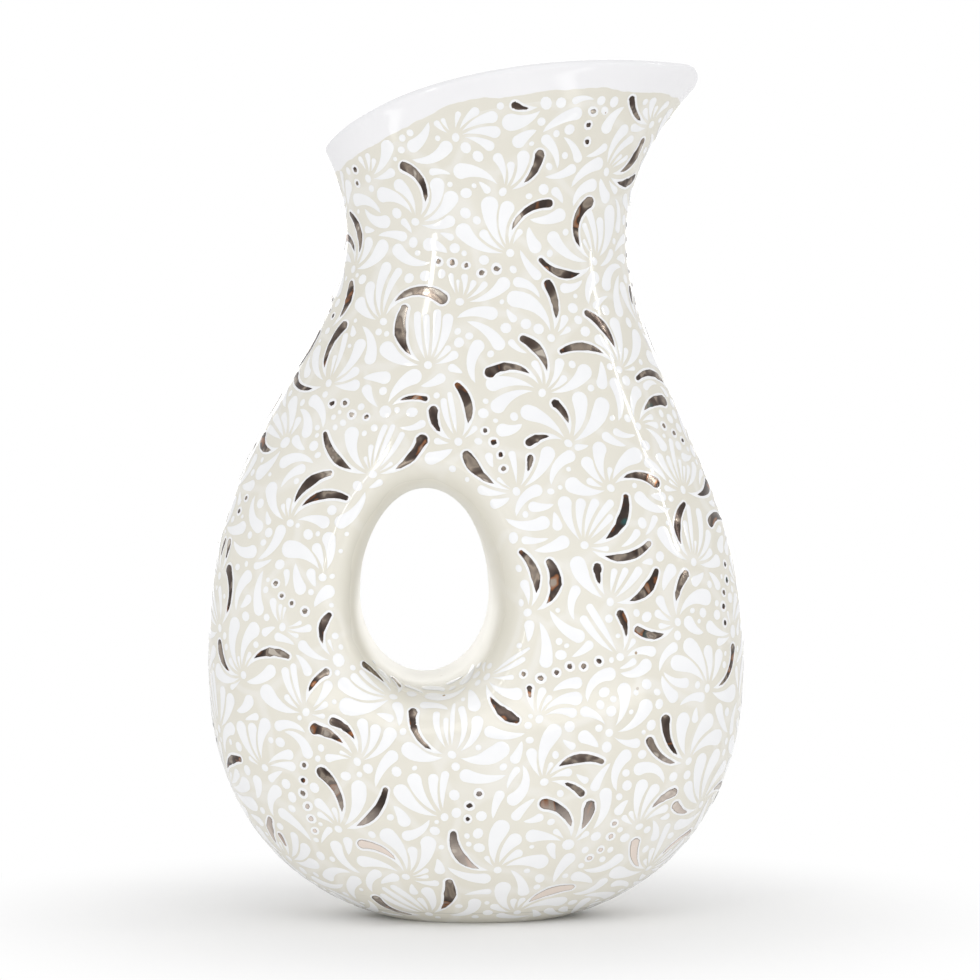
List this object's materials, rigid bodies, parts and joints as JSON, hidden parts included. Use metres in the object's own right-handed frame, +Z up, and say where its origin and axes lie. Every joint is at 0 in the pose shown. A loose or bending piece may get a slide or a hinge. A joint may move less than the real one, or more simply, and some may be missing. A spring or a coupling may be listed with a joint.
{
  "type": "pierced-body jug",
  "caption": "Flattened pear-shaped glazed jug with an oval finger hole through its belly as the handle, a waisted neck and a slanted mouth with a beaked pouring lip.",
  "frame": {"origin": "on the table, under the middle of the jug's outline", "axes": "+Z up, +X towards the pouring lip, -Y the front that the picture shows"},
  "size_m": [0.188, 0.1176, 0.2965],
  "materials": {
    "cream_glaze": "glossy cream glaze",
    "white_glaze": "glossy white glaze, on the rim and inside",
    "bare_clay": "unglazed, matt",
    "white_enamel": "raised glossy white brush strokes and dots",
    "platinum_lustre": "mirror-like metal lustre fired on the glaze"
  },
  "bodies": {
    "root": {"foot_ring": "bare_clay", "base_slab": "cream_glaze", "front_shell": "cream_glaze", "back_shell": "cream_glaze", "hole_liner": "cream_glaze", "neck_collar": "cream_glaze", "mouth_rim": "white_glaze"}
  },
  "joints": []
}
